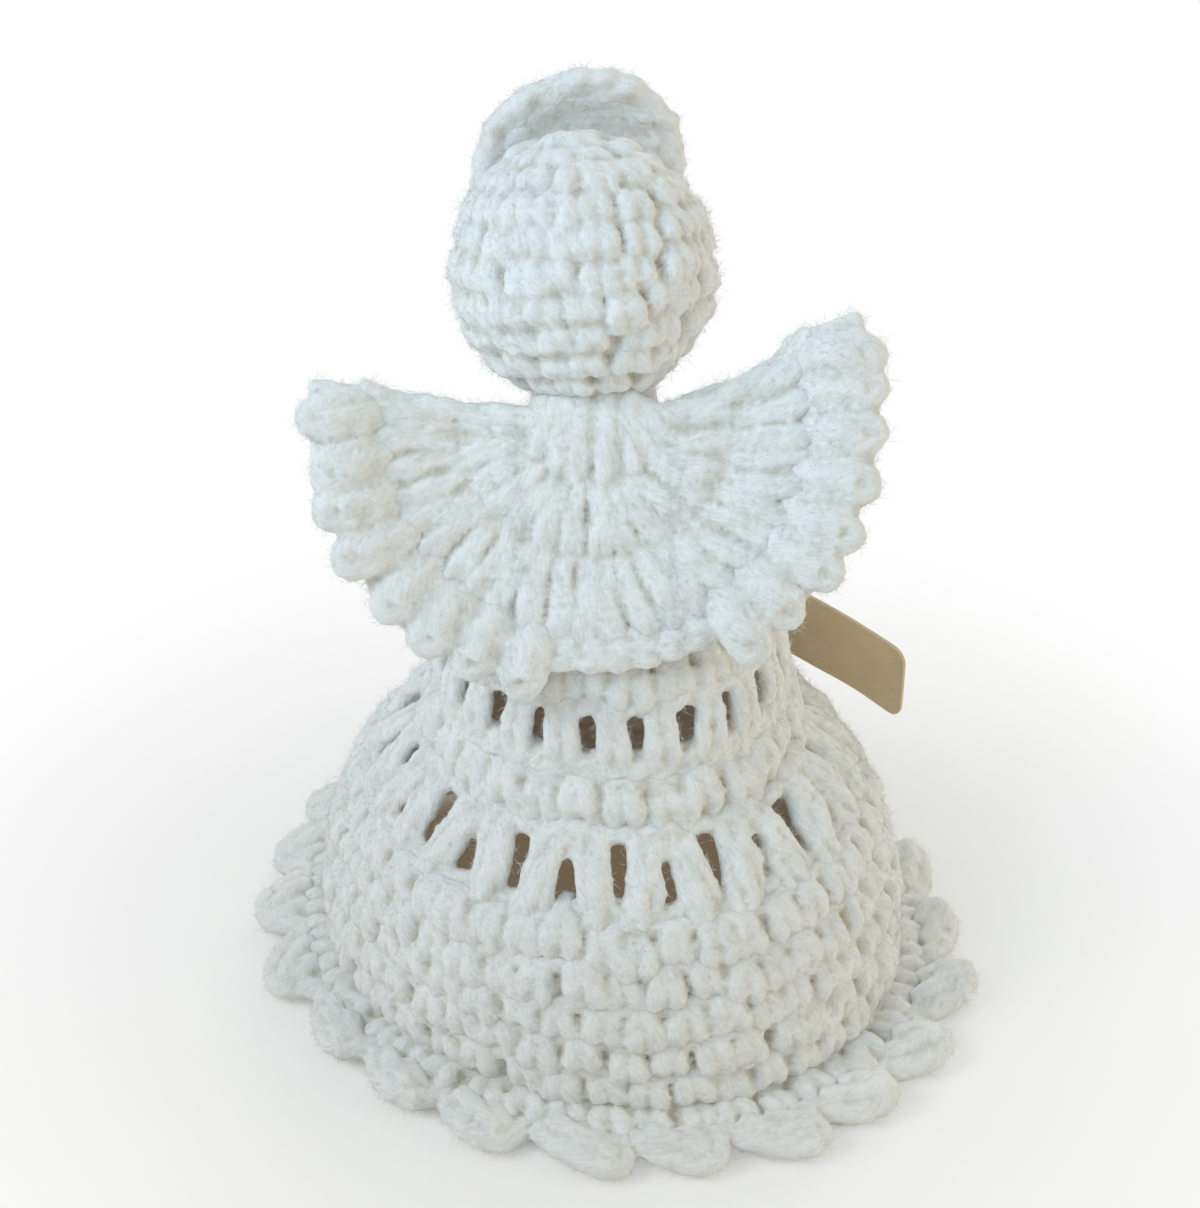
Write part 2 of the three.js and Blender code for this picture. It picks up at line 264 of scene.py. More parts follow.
# Close points along each strand, with its way there and a direction across it that turns little
def strandFrames(strands):
    spots, tangents, firsts, alongs = [], [], [], []
    for number, one in enumerate(strands):
        points = one["points"]
        if one["closed"]:
            points = np.vstack([points, points[:1]])
        steps = np.linalg.norm(np.diff(points, axis=0), axis=1)
        travel = np.concatenate([[0], np.cumsum(steps)])
        samples = np.arange(0, travel[-1], felt["spacing"])
        dense = np.stack([np.interp(samples, travel, points[:, axis]) for axis in range(3)], -1)
        ways = np.gradient(dense, axis=0)
        ways /= np.maximum(np.linalg.norm(ways, axis=1), 1e-9)[:, None]
        across = np.cross(ways[0], (0.3, 0.5, 0.81))
        crossings = []
        for way in ways:
            across = across - way * (across @ way)
            across = across / max(np.linalg.norm(across), 1e-9)
            crossings.append(across)
        spots.append(dense)
        tangents.append(ways)
        firsts.append(np.array(crossings))
        alongs.append(samples + felt["apart"] * number)
    return [np.concatenate(lists) for lists in (spots, tangents, firsts, alongs)]


# Smooth unevenness of about one length, from waves in many directions, the same for every piece
def waveField(length, count=22):
    ways = rng.normal(0, 1, (3, count))
    ways *= 2 * math.pi / (length * rng.uniform(0.75, 1.35, count) * np.linalg.norm(ways, axis=0))
    phases = rng.uniform(0, 2 * math.pi, count)
    return lambda points: np.sin(points @ ways + phases).sum(1) * math.sqrt(2 / count)


puffField = waveField(felt["puffLength"])
fleeceField = waveField(felt["fleeceLength"])
yarnWays = {}


def soften(piece, times):
    smooth = piece.modifiers.new("soften", "SMOOTH")
    smooth.factor = 0.5
    smooth.iterations = times
    bpy.ops.object.modifier_apply(modifier="soften")


# Takes out the closed hollows and crumbs that a remesh leaves
def clearStray(piece):
    mesh = piece.data
    one, other = meshArray(mesh.edges, "vertices", 2, np.int32).T
    island, before = np.arange(len(mesh.vertices)), None
    while before is None or (island != before).any():
        before = island
        lower = np.minimum(island[one], island[other])
        island = island.copy()
        np.minimum.at(island, one, lower)
        np.minimum.at(island, other, lower)
        island = island[island]
    flow = (meshArray(mesh.polygons, "center", 3) * meshArray(mesh.polygons, "normal", 3)).sum(1)
    flow = flow * meshArray(mesh.polygons, "area", 1) / (3 * mm ** 3)
    starts = meshArray(mesh.polygons, "loop_start", 1, np.int32)
    first = meshArray(mesh.loops, "vertex_index", 1, np.int32)[starts]
    volume = np.bincount(island[first], flow, len(island))
    stray = np.flatnonzero(volume[island] < felt["crumb"])
    shape = bmesh.new()
    shape.from_mesh(mesh)
    shape.verts.ensure_lookup_table()
    bmesh.ops.delete(shape, geom=[shape.verts[index] for index in stray], context="VERTS")
    shape.to_mesh(mesh)
    shape.free()
    print("  ", len(np.unique(island[stray])), "stray shells out,", len(np.unique(island)), "found")


# How far each point lies below the eased surface around it, which sets how much painted shade the yarn gets
# there
def hollows(mesh, corners):
    one, other = meshArray(mesh.edges, "vertices", 2, np.int32).T
    count = len(corners)
    links = np.bincount(one, minlength=count) + np.bincount(other, minlength=count)
    links = np.maximum(links, 1)[:, None]
    eased = corners
    for _ in range(felt["easing"]):
        near = [np.bincount(one, line[other], count) + np.bincount(other, line[one], count)
                for line in eased.T]
        eased = 0.5 * eased + 0.5 * np.stack(near, -1) / links
    return ((eased - corners) * meshArray(mesh.vertex_normals, "vector", 3)).sum(1)


def feltPiece(name, strands, voxel=felt["voxel"], softening=felt["softening"], puff=felt["puff"]):
    piece = tubePiece(name, strands)
    piece.data.remesh_voxel_size = voxel * mm
    bpy.ops.object.voxel_remesh()
    clearStray(piece)
    soften(piece, softening)
    mesh = piece.data
    corners = meshArray(mesh.vertices, "co", 3) / mm
    swell = puff * puffField(corners) + felt["fleece"] * fleeceField(corners)
    corners = corners + meshArray(mesh.vertex_normals, "vector", 3) * swell[:, None]
    corners[:, 2] = np.maximum(corners[:, 2], felt["floor"])
    mesh.vertices.foreach_set("co", (corners * mm).ravel())
    soften(piece, felt["settle"])
    mesh = piece.data
    mesh.update()
    corners = meshArray(mesh.vertices, "co", 3) / mm
    # painted shade: the depth in hollows is kept on the mesh for the yarn's darker, warmer colour there
    paintedShadeDepth = mesh.attributes.new("paintedShadeDepth", "FLOAT", "POINT")
    paintedShadeDepth.data.foreach_set("value", hollows(mesh, corners))
    centres = meshArray(mesh.polygons, "center", 3) / mm
    spots, tangents, firsts, alongs = strandFrames(strands)
    tree = KDTree(len(spots))
    for index, spot in enumerate(spots):
        tree.insert(spot, index)
    tree.balance()
    nearest = np.array([tree.find(centre)[1] for centre in centres])
    yarnWays[name] = tangents[nearest]
    # each corner's place in its own strand: two ways across, turned by the twist, and the way along
    nearest = np.repeat(nearest, meshArray(mesh.polygons, "loop_total", 1, np.int32))
    offset = corners[meshArray(mesh.loops, "vertex_index", 1, np.int32)] - spots[nearest]
    way, first = tangents[nearest], firsts[nearest]
    along = alongs[nearest] + (offset * way).sum(1)
    a = (offset * first).sum(1)
    b = (offset * np.cross(way, first)).sum(1)
    turn = along * felt["twist"]
    space = np.stack([a * np.cos(turn) - b * np.sin(turn), a * np.sin(turn) + b * np.cos(turn), along], -1)
    layer = mesh.attributes.new("strandSpace", "FLOAT_VECTOR", "CORNER")
    layer.data.foreach_set("vector", space.ravel())
    cover(piece, whiteYarn)
    bpy.ops.object.shade_smooth()
    print("  ", name, len(strands), "strands,", len(mesh.polygons), "faces")
    return piece


yarnPieces = []


# A wing's pieces stay where they are made: their seam line's two ends are worked out but not used, and
# nothing bends. The others ride their body
def carry(piece, body):
    if not body.endswith("_wing"):
        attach(piece, body)
        return
    sign = -1 if body == "left_wing" else 1
    start = np.array(fan["apex"]) + (sign * (fan["hinge"] - fan["bend"]), 0, 0)
    end = np.array(fan["apex"]) + (sign * (fan["hinge"] + fan["bend"]), 0, 0)
    tuple(start * mm)
    tuple(end * mm)
    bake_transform(piece)


def knit(node, body, strands, **how):
    piece = feltPiece(node + "Yarn", list(strands), **how)
    carry(piece, body)
    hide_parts(node)
    yarnPieces.append((piece, body))


# The skirt's outer surface at a height, out of round as the soft skirt stands
skirt = dict(foot=4.0, top=31.0, bell=42.3, shoulder=36.3, fullness=2.4,
             levels=(31.0, 41.0, 46.5, 58.5, 64.8), radii=(36.3, 27.0, 25.8, 23.8, 20.0),
             stretch=0.06, level=58.5, step=0.4, inset=2.7, voxel=0.55)


def around(steps, whole=2 * math.pi):
    return np.linspace(0, whole, steps, endpoint=False)


def skirtRadius(height):
    rise = np.clip((height - skirt["foot"]) / (skirt["top"] - skirt["foot"]), 0, 1)
    bell = skirt["bell"] + (skirt["shoulder"] - skirt["bell"]) * rise ** skirt["fullness"]
    return np.where(height > skirt["top"], np.interp(height, skirt["levels"], skirt["radii"]), bell)


def roundPoint(turn, radius, height):
    x, y = radius * np.cos(turn), radius * np.sin(turn)
    stretch = skirt["stretch"] * np.clip(1 - height / skirt["level"], 0, None)
    along = (x - y) / 2 * (1 + stretch)
    across = (x + y) / 2 * (1 - stretch)
    return np.stack([along + across, across - along, height], -1)


def skirtPoint(turn, height, out):
    step = skirt["step"]
    slope = (skirtRadius(height + step) - skirtRadius(height - step)) / (2 * step)
    lean = 1 / np.sqrt(1 + slope ** 2)
    return roundPoint(turn, skirtRadius(height) + out * lean, height - out * slope * lean)


# One single crochet, worked downwards: sideways in stitches, down in rows, out in mm, fullness
stitchPath = np.array([
    (-0.04, -0.24, -1.00, 0.80), (-0.08, -0.04, 0.10, 0.92), (-0.14, 0.18, 0.95, 1.00),
    (-0.20, 0.44, 1.40, 1.08), (-0.245, 0.72, 1.45, 1.12), (-0.26, 0.98, 0.95, 1.04),
    (-0.22, 1.20, -0.20, 0.90), (0.00, 1.26, -1.60, 0.80), (0.22, 1.20, -0.20, 0.90),
    (0.26, 0.98, 0.95, 1.04), (0.245, 0.72, 1.45, 1.12), (0.20, 0.44, 1.40, 1.08),
    (0.14, 0.18, 0.95, 1.00), (0.08, -0.04, 0.10, 0.92), (0.04, -0.24, -1.00, 0.80),
    (0.50, -0.05, -2.20, 0.80)])
# How far stitches differ: sideways, down, out and in fullness
stitchWobble = (0.06, 0.09, 0.22, 0.07)


def stitchRow(place, count, radius, shift=0.0, height=1.0, lean=0.08, loose=1.0):
    side, down, out, full = stitchPath.T
    sides, downs, outs, fulls = [], [], [], []
    for stitch in range(count):
        wobble = rng.normal(0, stitchWobble) * loose
        tilt = lean + rng.normal(0, 0.07) * loose
        sides.append(side * (1 + wobble[3]) + down * tilt + stitch + shift + wobble[0])
        downs.append(down + wobble[1])
        outs.append(out * height + wobble[2] + rng.normal(0, 0.08, len(stitchPath)))
        fulls.append(full * (1 + wobble[3]))
    points = place(np.concatenate(sides), np.concatenate(downs), np.concatenate(outs))
    return strand(points, radius * np.concatenate(fulls), True)


# Plain rings behind a row, which close it
def backing(place, count, radius, depth=-0.9):
    turn = around(count * 4, count)
    return [strand(place(turn, down + 0.08 * np.sin(turn * 6), depth + 0 * turn), radius, True)
            for down in (0.3, 0.65, 1.0)]


# The two crossing strands along a row's top
def topChain(place, count, radius, out=0.6):
    turn = around(count * 6, count)
    waves = (turn * 2 * math.pi, turn * 2 * math.pi + math.pi)
    return [strand(place(turn, 0.02 + 0.12 * np.sin(wave), out + 0.3 * np.cos(wave)), radius * 0.72, True)
            for wave in waves]


def skirtRow(node, low, high, count, radius, shift):
    def place(side, down, out):
        turn = side * 2 * math.pi / count
        wander = down + 0.07 * np.sin(turn * 5 + shift * 3) + 0.04 * np.sin(turn * 13 + shift)
        return skirtPoint(turn, high + (low - high) * wander, out - skirt["inset"])
    strands = [stitchRow(place, count, radius, shift), *backing(place, count, radius),
               *topChain(place, count, radius)]
    knit(node, "dress", strands, voxel=skirt["voxel"])


# Solid rounds of the bell
bellRounds = dict(count=44, radius=1.48, drift=0.5)
for number in range(1, 6):
    node = "skirt_round_%d" % number
    low, high = (corner[2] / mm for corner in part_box(node))
    skirtRow(node, low, high, bellRounds["count"], bellRounds["radius"], number * bellRounds["drift"])

# Middle round and waist round
band = dict(low=41.15, high=46.35, count=28, radius=1.52, shift=0.2)
skirtRow("middle_round", **band)
waist = dict(low=58.65, high=64.65, count=24, radius=1.52, shift=0.4)
skirtRow("waist_round", **waist)
print("skirt rounds done")

# Hem round: a row that lies flat, worked outwards, and a ring that closes it to the bell
hem = dict(inner=40.4, outer=45.2, level=2.3, flat=0.7, count=46, radius=1.45, depth=-0.8, ring=1.6)


def hemPlace(side, down, out):
    radius = hem["inner"] + (hem["outer"] - hem["inner"]) * down
    height = np.maximum(hem["level"] + hem["flat"] * out, hem["radius"])
    return roundPoint(side * 2 * math.pi / hem["count"], radius, height)


def hemYarn():
    turn = around(hem["count"] * 4, hem["count"])
    ring = hemPlace(turn, 0.02 + 0 * turn, 1.2 + 0.4 * np.sin(turn * 6.3))
    return [stitchRow(hemPlace, hem["count"], hem["radius"]),
            *backing(hemPlace, hem["count"], hem["radius"], hem["depth"]), strand(ring, hem["ring"], True)]


knit("hem_round", "dress", hemYarn(), voxel=skirt["voxel"])

# Picot edging: a band, and for each picot a fat loop that leans to one side
# Paths: sideways in picots, outwards, fullness, each with its height over the level
picot = dict(count=22, band=45.9, tip=51.4, radius=1.85, level=2.15, lean=0.2,
             bands=((-0.2, 1.4), (0.8, 1.3)),
             paths=((((-0.48, -0.1, 0.95), (-0.43, 0.2, 1.0), (-0.33, 0.55, 1.0), (-0.18, 0.87, 1.0),
                      (-0.01, 1.0, 0.98), (0.13, 0.9, 1.0), (0.23, 0.62, 1.0), (0.34, 0.28, 1.0),
                      (0.46, -0.1, 0.95)), 0.0),
                    (((-0.30, -0.1, 0.9), (-0.20, 0.22, 1.0), (-0.08, 0.48, 1.0), (0.04, 0.68, 1.0),
                      (0.12, 0.84, 0.85)), 1.1),
                    (((0.0, -0.1, 0.9), (0.09, 0.15, 1.0), (0.16, 0.36, 1.0), (0.20, 0.56, 0.85)), 0.8)))


def picotEdging():
    pitch = 2 * math.pi / picot["count"]
    turn = around(132)
    for layer, (reach, thick) in enumerate(picot["bands"]):
        wave = turn * 44 + layer * math.pi
        radius = picot["band"] + reach + 0.4 * np.sin(wave)
        yield strand(roundPoint(turn, radius, picot["level"] + 0.3 * np.cos(wave)), thick, True)
    for number in range(picot["count"]):
        grow = 1 + rng.normal(0, 0.12)
        lean = picot["lean"] + rng.normal(0, 0.05)
        lift = abs(rng.normal(0, 0.3))
        for path, raised in picot["paths"]:
            side, out, full = np.array(path).T
            full = picot["radius"] * full
            turn = (number + side + lean * out) * pitch
            radius = picot["band"] + (picot["tip"] - picot["band"]) * out * grow
            height = picot["level"] + raised + 0.35 * np.sin(side * 8 + number)
            height = np.maximum(height + lift * out, full)
            yield strand(roundPoint(turn, radius, height), full)


knit("picot_edging", "dress", picotEdging())
print("hem done")

# Lower openwork: clusters of two full legs, joined at the top
# Foot and head: how far a leg stands from the cluster's middle, and its strands from each other
lowerLace = dict(low=31.0, high=41.0, count=14, radius=1.32, inset=2.5, foot=(5.1, 1.75),
                 head=(1.6, 1.1), loop=1.6, loopReach=3.6, loopTurn=27.0, fill=1.5, chain=1.6, ring=1.5)


def lowerOpenwork():
    pitch = 2 * math.pi / lowerLace["count"]
    top = lowerLace["high"]
    drop = top - lowerLace["low"]
    run = np.linspace(0, 1, 9)
    for number in range(lowerLace["count"]):
        centre = number * pitch + rng.normal(0, 0.02)
        for side in (-1, 1):
            sway = rng.normal(0, 0.5)
            for row, offset in enumerate((-1.0, 0.0, 1.0)):
                foot = side * lowerLace["foot"][0] + offset * lowerLace["foot"][1] + sway
                head = side * lowerLace["head"][0] + offset * lowerLace["head"][1]
                twist = run * 6.3 + row * 2.1
                across = head + (foot - head) * run ** 0.95
                across = across + 0.35 * np.sin(twist + number) + rng.normal(0, 0.22, len(run))
                level = top + 0.5 - (drop + 1.6) * run
                out = -lowerLace["inset"] - 0.3 + 1.5 * np.sin(run * math.pi) ** 0.6
                out = out + 0.45 * np.cos(twist) + (0.35 if row == 1 else 0)
                full = lowerLace["radius"] * (0.82 + 0.3 * np.sin(run * math.pi))
                full = full * (1 + rng.normal(0, 0.05))
                turn = centre + across / skirtRadius(level)
                yield strand(skirtPoint(turn, level, out), full)
        # the loop that gathers a cluster's head, what fills it, and the chain on to the next one
        reach = lowerLace["loopReach"]
        wrap = np.linspace(-reach, reach, 7)
        level = top - 1.4 + 1.2 * np.cos(wrap / reach * math.pi / 2) + rng.normal(0, 0.2)
        turn = centre + wrap / lowerLace["loopTurn"]
        yield strand(skirtPoint(turn, level, -1.4 - 0.07 * wrap ** 2), lowerLace["loop"])
        level = top - np.array((1.2, 2.4, 3.6))
        yield strand(skirtPoint(centre + 0 * level, level, -2.0 + 0 * level), lowerLace["fill"])
        chain = np.linspace(0.05, 0.95, 9)
        level = top + 0.1 - 0.9 * np.sin(chain * math.pi) + rng.normal(0, 0.25)
        out = -2.3 + 0.3 * np.cos(chain * 12)
        yield strand(skirtPoint(centre + chain * pitch, level, out), lowerLace["chain"])
    turn = around(112)
    level = lowerLace["low"] + 1.3 + 0.4 * np.sin(turn * 28)
    yield strand(skirtPoint(turn, level, -2.6 + 0 * turn), lowerLace["ring"], True)


knit("lower_openwork", "dress", lowerOpenwork())

# Upper openwork: tall stitches, narrow at the top, in pairs that lean together
upperLace = dict(low=46.5, high=58.5, count=22, radius=1.22, inset=2.4, pull=0.04, ring=1.35)


def upperOpenwork():
    pitch = 2 * math.pi / upperLace["count"]
    low, high = upperLace["low"], upperLace["high"]
    run = np.linspace(0, 1, 9)
    for number in range(upperLace["count"]):
        pull = (upperLace["pull"] if number % 2 == 0 else -upperLace["pull"]) + rng.normal(0, 0.03)
        for side in (-1, 1):
            across = side * (0.7 + 0.7 * np.sin(run * math.pi / 2) + 0.2 * run ** 4)
            across = across + 0.2 * np.sin(run * 6.3 + number) + rng.normal(0, 0.1)
            level = high + 0.7 - (high - low + 1.3) * run
            turn = (number + 0.5 + pull * (1 - run)) * pitch + across / skirtRadius(level)
            out = -upperLace["inset"] - 0.6 + 1.7 * np.sin(run * math.pi) ** 0.6
            full = upperLace["radius"] * (0.82 + 0.28 * np.sin(run ** 1.3 * math.pi))
            full = full * (1 + rng.normal(0, 0.05))
            yield strand(skirtPoint(turn, level, out), full)
    turn = around(132)
    for level in (low + 0.8, low + 2.4, high - 1.2):
        for layer in range(2):
            wave = turn * 22 + layer * math.pi
            spots = skirtPoint(turn, level + 0.8 * np.sin(wave), -2.4 + 0.5 * np.cos(wave))
            yield strand(spots, upperLace["ring"], True)


knit("upper_openwork", "dress", upperOpenwork())
print("openwork done")

# Bodice: rows up a leaning cone
bodice = dict(low=64.8, high=88.4, foot=19.6, collar=5.6, lean=2.3, rows=5, pitch=5.6, fewest=7,
              radius=1.45, inset=2.5, narrowest=1.5, drift=0.3, voxel=0.6)


def bodiceYarn():
    tall = bodice["high"] - bodice["low"]
    slope = (bodice["collar"] - bodice["foot"]) / tall
    lean = 1 / math.sqrt(1 + slope ** 2)
    for row in range(bodice["rows"]):
        high = bodice["high"] - row * tall / bodice["rows"]
        low = bodice["high"] - (row + 1) * tall / bodice["rows"]
        size = bodice["foot"] + slope * ((low + high) / 2 - bodice["low"])
        count = max(bodice["fewest"], round(2 * math.pi * size / bodice["pitch"]))

        def place(side, down, out):
            height = high + (low - high) * down
            out = out - bodice["inset"]
            radius = bodice["foot"] + slope * (height - bodice["low"]) + out * lean
            radius = np.maximum(radius, bodice["narrowest"])
            turn = side * 2 * math.pi / count
            shift = -bodice["lean"] * (height - bodice["low"]) / tall
            return np.stack([radius * np.cos(turn) + shift, radius * np.sin(turn),
                             height - out * slope * lean], -1)
        yield stitchRow(place, count, bodice["radius"], row * bodice["drift"])


knit("bodice_shell", "dress", bodiceYarn(), voxel=bodice["voxel"])

# Neck and head, which lean back and to the side together
head = dict(pivot=(-2.3, 0, 90.1), back=16, side=5, rise=17.573, radius=17.0, rows=11, pitch=5.3,
            fewest=5, yarn=1.38, inset=2.9, height=1.35, loose=1.2, drift=0.5, backing=0.0, chain=0.8,
            opening=14.3, fill=13.4)
headTurn = np.array((Euler((-math.radians(head["back"]), 0, 0)).to_matrix()
                     @ Euler((0, -math.radians(head["side"]), 0)).to_matrix()))
neckSpot = np.array(head["pivot"])
headSpot = neckSpot + headTurn @ np.array((0, 0, head["rise"]))


def headPoint(turn, polar, out):
    radius = head["radius"] + out
    ball = np.stack([radius * np.sin(polar) * np.cos(turn), radius * np.sin(polar) * np.sin(turn),
                     -radius * np.cos(polar)], -1)
    return headSpot + ball @ headTurn.T


def headYarn():
    first = math.radians(head["opening"])
    step = (math.pi - first) / head["rows"]
    for row in range(head["rows"]):
        low = first + row * step
        high = low + step
        size = head["radius"] * math.sin((low + high) / 2)
        count = max(head["fewest"], round(2 * math.pi * size / head["pitch"]))

        def place(side, down, out):
            polar = np.clip(high + (low - high) * down, 0.02, math.pi - 0.06)
            return headPoint(side * 2 * math.pi / count, polar, out - head["inset"])
        yield stitchRow(place, count, head["yarn"], row * head["drift"], head["height"],
                        loose=head["loose"])
        yield from backing(place, count, head["yarn"], head["backing"])
        yield from topChain(place, count, head["yarn"], head["chain"])


knit("head_shell", "head", headYarn())

neck = dict(wide=5.4, deep=3.6, flat=0.6, shift=(-0.2, 0.6, 0.6), low=-3.4, high=3.8, count=9, yarn=1.8)


def neckYarn():
    def place(side, down, out):
        turn = side * 2 * math.pi / neck["count"]
        out = neck["flat"] * out
        local = np.stack([(neck["wide"] + out) * np.cos(turn), (neck["deep"] + out) * np.sin(turn),
                          neck["high"] + (neck["low"] - neck["high"]) * down], -1)
        return neckSpot + np.array(neck["shift"]) + local @ headTurn.T
    return [stitchRow(place, neck["count"], neck["yarn"])]


knit("neck_round", "neck", neckYarn())


# Fibrefill inside the head: a lumpy ball
def headFill(lumpCount=9):
    piece = startFrom("headFilling", bpy.ops.mesh.primitive_ico_sphere_add, subdivisions=5, radius=1.0)
    spots = meshArray(piece.data.vertices, "co", 3)
    lumps = sum(np.sin(spots @ rng.normal(0, 6, 3) + rng.uniform(0, 6)) for _ in range(lumpCount))
    spots = headSpot + spots * (head["fill"] - 0.6 + 1.1 * (lumps / lumpCount))[:, None]
    piece.data.vertices.foreach_set("co", (spots * mm).ravel())
    cover(piece, fillFibre)
    bpy.ops.object.shade_smooth()
    return piece


filling = headFill()
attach(filling, "head")
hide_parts("head_stuffing")
print("bodice and head done")

# Halo: rounds of a shallow dish, a little wider to the upper right, with a knot at the left
# Edging: radius and depth of each ring; knot: turn from the knot's place, radius and depth
halo = dict(stand=17.9, latitude=24, lift=3.8, radius=14.4, cup=2.0, ruffle=0.5, wide=0.07, wideAt=48,
            rounds=(0.9, 2.0, 3.1, 4.2, 5.3, 6.4, 7.5, 8.6, 9.7, 10.8), faces=(1.35, 2.0), yarn=1.5,
            edging=((11.4, 1.5), (12.4, 1.6), (13.0, 1.8), (12.1, 2.4)), edgingYarn=1.45, knotAt=186,
            knot=((0.12, 11.5, 0.6), (0.02, 13.3, 0.2), (-0.06, 12.9, 0.4), (0.02, 11.8, 0.9)))
latitude = math.radians(halo["latitude"])
haloTurn = headTurn @ np.array(Euler((latitude, 0, 0)).to_matrix())
haloSpot = headSpot + headTurn @ (halo["stand"] * np.array((0, math.cos(latitude), math.sin(latitude))))


def haloPoint(turn, radius, depth):
    share = radius / halo["radius"]
    ruffle = halo["ruffle"] * share ** 3 * np.sin(turn * 3 + 0.8)
    y = -halo["cup"] * share ** 2 + depth + ruffle
    radius = radius * (1 + halo["wide"] * np.cos(2 * (turn - math.radians(halo["wideAt"]))))
    local = np.stack([radius * np.cos(turn), y, radius * np.sin(turn) + halo["lift"]], -1)
    return haloSpot + local @ haloTurn.T


def haloDisc():
    for radius in halo["rounds"]:
        turn = around(16 + int(radius * 8))
        for depth in halo["faces"]:
            wave = turn * max(4, round(radius * 1.3)) + depth * 3
            spots = haloPoint(turn, radius + 0.15 * np.sin(wave), depth + 0.1 * np.cos(wave))
            yield strand(spots, halo["yarn"] * (1 + 0.05 * np.sin(wave + 1)), True)


def haloEdging():
    turn = around(150)
    for phase, (radius, depth) in enumerate(halo["edging"]):
        wave = turn * 24 + phase * 2.1
        radius = radius + 0.22 * np.sin(wave) + 0.25 * np.sin(turn * 5 + phase)
        spots = haloPoint(turn, radius, depth + 0.25 * np.cos(wave))
        yield strand(spots, halo["edgingYarn"] * (1 + 0.1 * np.sin(wave * 0.5)), True)
    turn, radius, depth = np.array(halo["knot"]).T
    yield strand(haloPoint(math.radians(halo["knotAt"]) + turn, radius, depth), halo["yarn"])


knit("halo_disc", "halo", haloDisc(), softening=12, puff=0.1)
knit("halo_edging", "halo", haloEdging(), softening=10, puff=0.16)
print("halo done")

# Wing fan: rows of tall stitches outwards from the neck, then a border of shells
# Rows: start, end and stitches; border and ridge: reach, out and phase of each strand
# Knob: a shell's paths (sideways in shells, outwards), each with its thickness and height
fan = dict(apex=(-2.3, -6.9004, 91.5), tilt=30.677, neckline=4.2, edge=30.5, spread=88,
           leftSweep=7.9, rightSweep=22.4, hinge=13.0, lap=1.2, bend=3.0, leftCurl=8.0, rightCurl=5.0,
           curlSpan=25.0, rows=((0.0, 9.4, 8), (7.9, 18.4, 15), (17.0, 29.6, 25)), gather=7.2,
           rise=3.7, rib=1.68, ribShare=0.305, thinnest=0.85, inner=1.3, tie=1.35, voxel=0.45,
           shells=8, shellsLeft=11, shellsRight=31, shellFoot=27.4, shellTip=36.3, shellYarn=1.6,
           border=((30.0, 0.5), (31.6, 0.9), (33.2, 0.8), (34.6, 0.3), (29.8, -1.0), (32.4, -1.0),
                   (34.4, -0.6)), borderYarn=1.5,
           ridge=((28.4, 0.4, 1), (30.0, 0.9, 0), (31.6, 0.7, 2), (29.4, -0.8, 3), (31.4, -0.8, 4)),
           knob=((((-0.24, -0.16), (-0.26, 0.1), (-0.30, 0.4), (-0.27, 0.75), (-0.14, 0.95),
                   (0.0, 1.0), (0.14, 0.95), (0.27, 0.75), (0.30, 0.4), (0.26, 0.1),
                   (0.24, -0.16)), 1.1, 2.2),
                 (((0.0, -0.16), (0.0, 0.15), (0.0, 0.45), (0.0, 0.8)), 1.25, 2.7),
                 (((-0.18, 0.1), (-0.18, 0.5), (-0.1, 0.9)), 1.1, -1.2),
                 (((0.18, 0.1), (0.18, 0.5), (0.1, 0.9)), 1.1, -1.2)))
tilt = math.radians(fan["tilt"])
fanUp = np.array((0, math.sin(tilt), math.cos(tilt)))
fanOut = np.array((0, -math.cos(tilt), math.sin(tilt)))


def fanEdges(reach):
    share = (reach - fan["neckline"]) / (fan["edge"] - fan["neckline"])
    return -(fan["spread"] + fan["leftSweep"] * share), fan["spread"] + fan["rightSweep"] * share


def fanPoint(angle, reach, out):
    angle = np.radians(angle)
    u = reach * np.sin(angle)
    v = -reach * np.cos(angle)
    curl = np.where(u < 0, fan["leftCurl"], fan["rightCurl"])
    out = out + curl * (np.clip(np.abs(u) - fan["hinge"], 0, None) / fan["curlSpan"]) ** 2
    flat = np.array(fan["apex"]) + np.stack([u, 0 * u, 0 * u], -1)
    return flat + v[..., None] * fanUp + out[..., None] * fanOut


# The part of a strand that belongs to the middle or to one wing, with a short lap at the hinge line
def fanShare(one, side):
    points = one["points"]
    count = len(points)
    fine = np.linspace(0, count - 1, 4 * count)
    points = np.stack([np.interp(fine, np.arange(count), points[:, axis]) for axis in range(3)], -1)
    radius = np.interp(fine, np.arange(count), one["radius"])
    u = points[:, 0] - fan["apex"][0]
    if side == "panel":
        mine = np.abs(u) < fan["hinge"] - fan["bend"] + fan["lap"]
    else:
        mine = (u if side == "right" else -u) > fan["hinge"] - fan["bend"] - fan["lap"]
    return [strand(points[mine], radius[mine])] if mine.sum() > 3 else []


